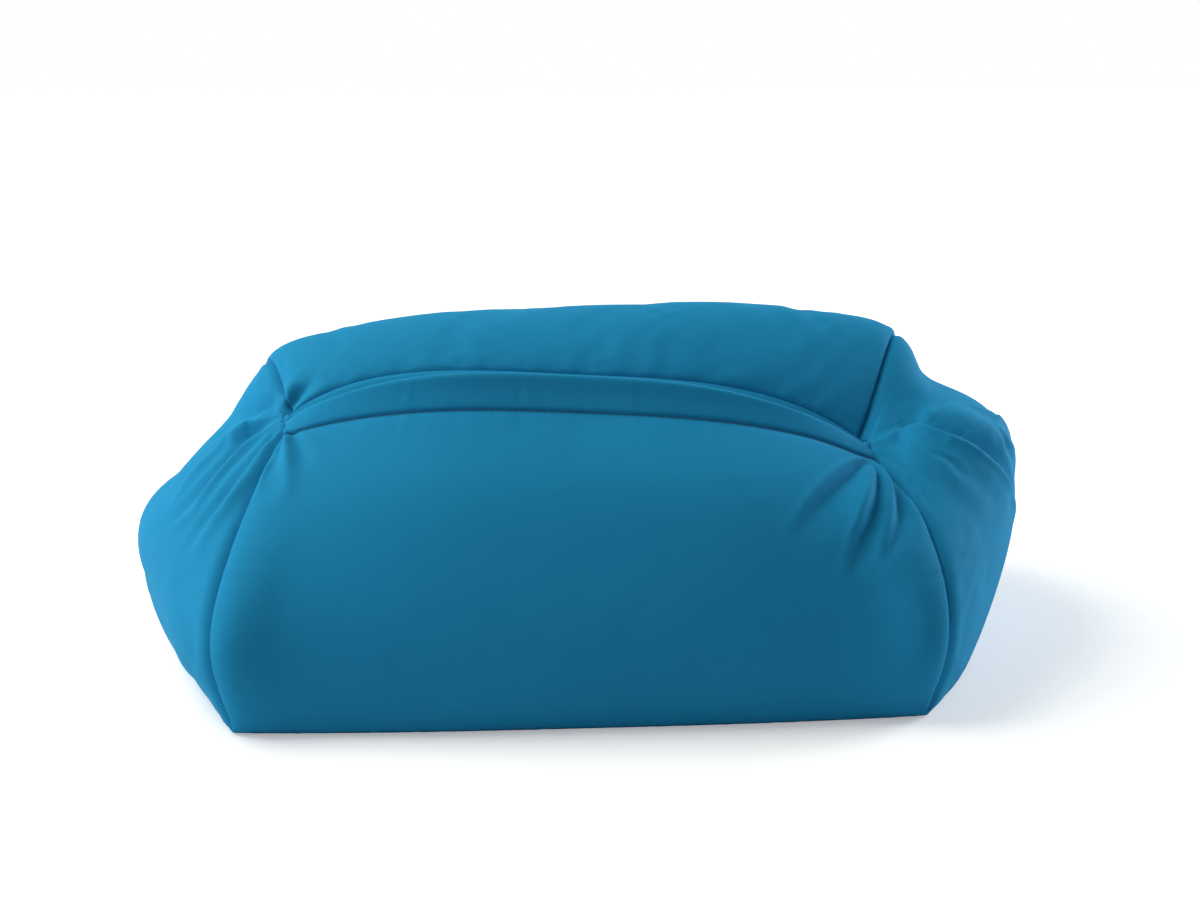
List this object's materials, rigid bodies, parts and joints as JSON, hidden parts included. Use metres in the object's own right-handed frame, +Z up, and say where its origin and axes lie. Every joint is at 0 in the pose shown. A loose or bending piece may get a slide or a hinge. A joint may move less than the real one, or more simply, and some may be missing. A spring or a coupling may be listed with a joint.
{
  "type": "beanbag tablet stand",
  "caption": "Stuffed fabric cushion with a slot pocket along its top that holds a tablet upright; a filling zip runs low along its back.",
  "frame": {"origin": "on the floor under the middle of the cushion's outline", "axes": "+X to the right seen from the front, along the pocket; +Y from the pocket's lip towards the back; +Z up"},
  "size_m": [0.4538, 0.253, 0.1672],
  "materials": {
    "cover_knit": "turquoise-blue stretch knit, soft sheen",
    "thread": "polyester sewing thread",
    "inner_cotton": "plain woven cotton",
    "beads": "expanded polystyrene beads",
    "zip_tape": "woven polyester tape",
    "zip_teeth": "nylon coil",
    "zip_metal": "painted die-cast zinc"
  },
  "bodies": {
    "root": {"front_panel": "cover_knit", "back_panel": "cover_knit", "left_end_panel": "cover_knit", "right_end_panel": "cover_knit", "base_panel": "cover_knit", "pocket_hem": "cover_knit", "pocket_front_lining": "cover_knit", "pocket_back_lining": "cover_knit", "hem_stitching": "thread", "inner_bag_front": "inner_cotton", "inner_bag_back": "inner_cotton", "bead_fill": "beads", "zip_upper_tape": "zip_tape", "zip_lower_tape": "zip_tape", "zip_upper_teeth": "zip_teeth", "zip_lower_teeth": "zip_teeth", "zip_upper_top_stop": "zip_metal", "zip_lower_top_stop": "zip_metal", "zip_bottom_stop": "zip_metal"},
    "zip_slider": {"zip_slider": "zip_metal"},
    "zip_pull": {"zip_pull": "zip_metal"}
  },
  "joints": [
    {"name": "zip_slide", "type": "slide", "parent": "root", "child": "zip_slider", "axis": [1, 0, 0], "range_m": [0, 0.1828]},
    {"name": "pull_swing", "type": "hinge", "parent": "zip_slider", "child": "zip_pull", "pos_m": [-0.0914, 0.11976, 0.02267], "axis": [0, 0.2133, 0.977], "range_deg": [0, 175]}
  ]
}
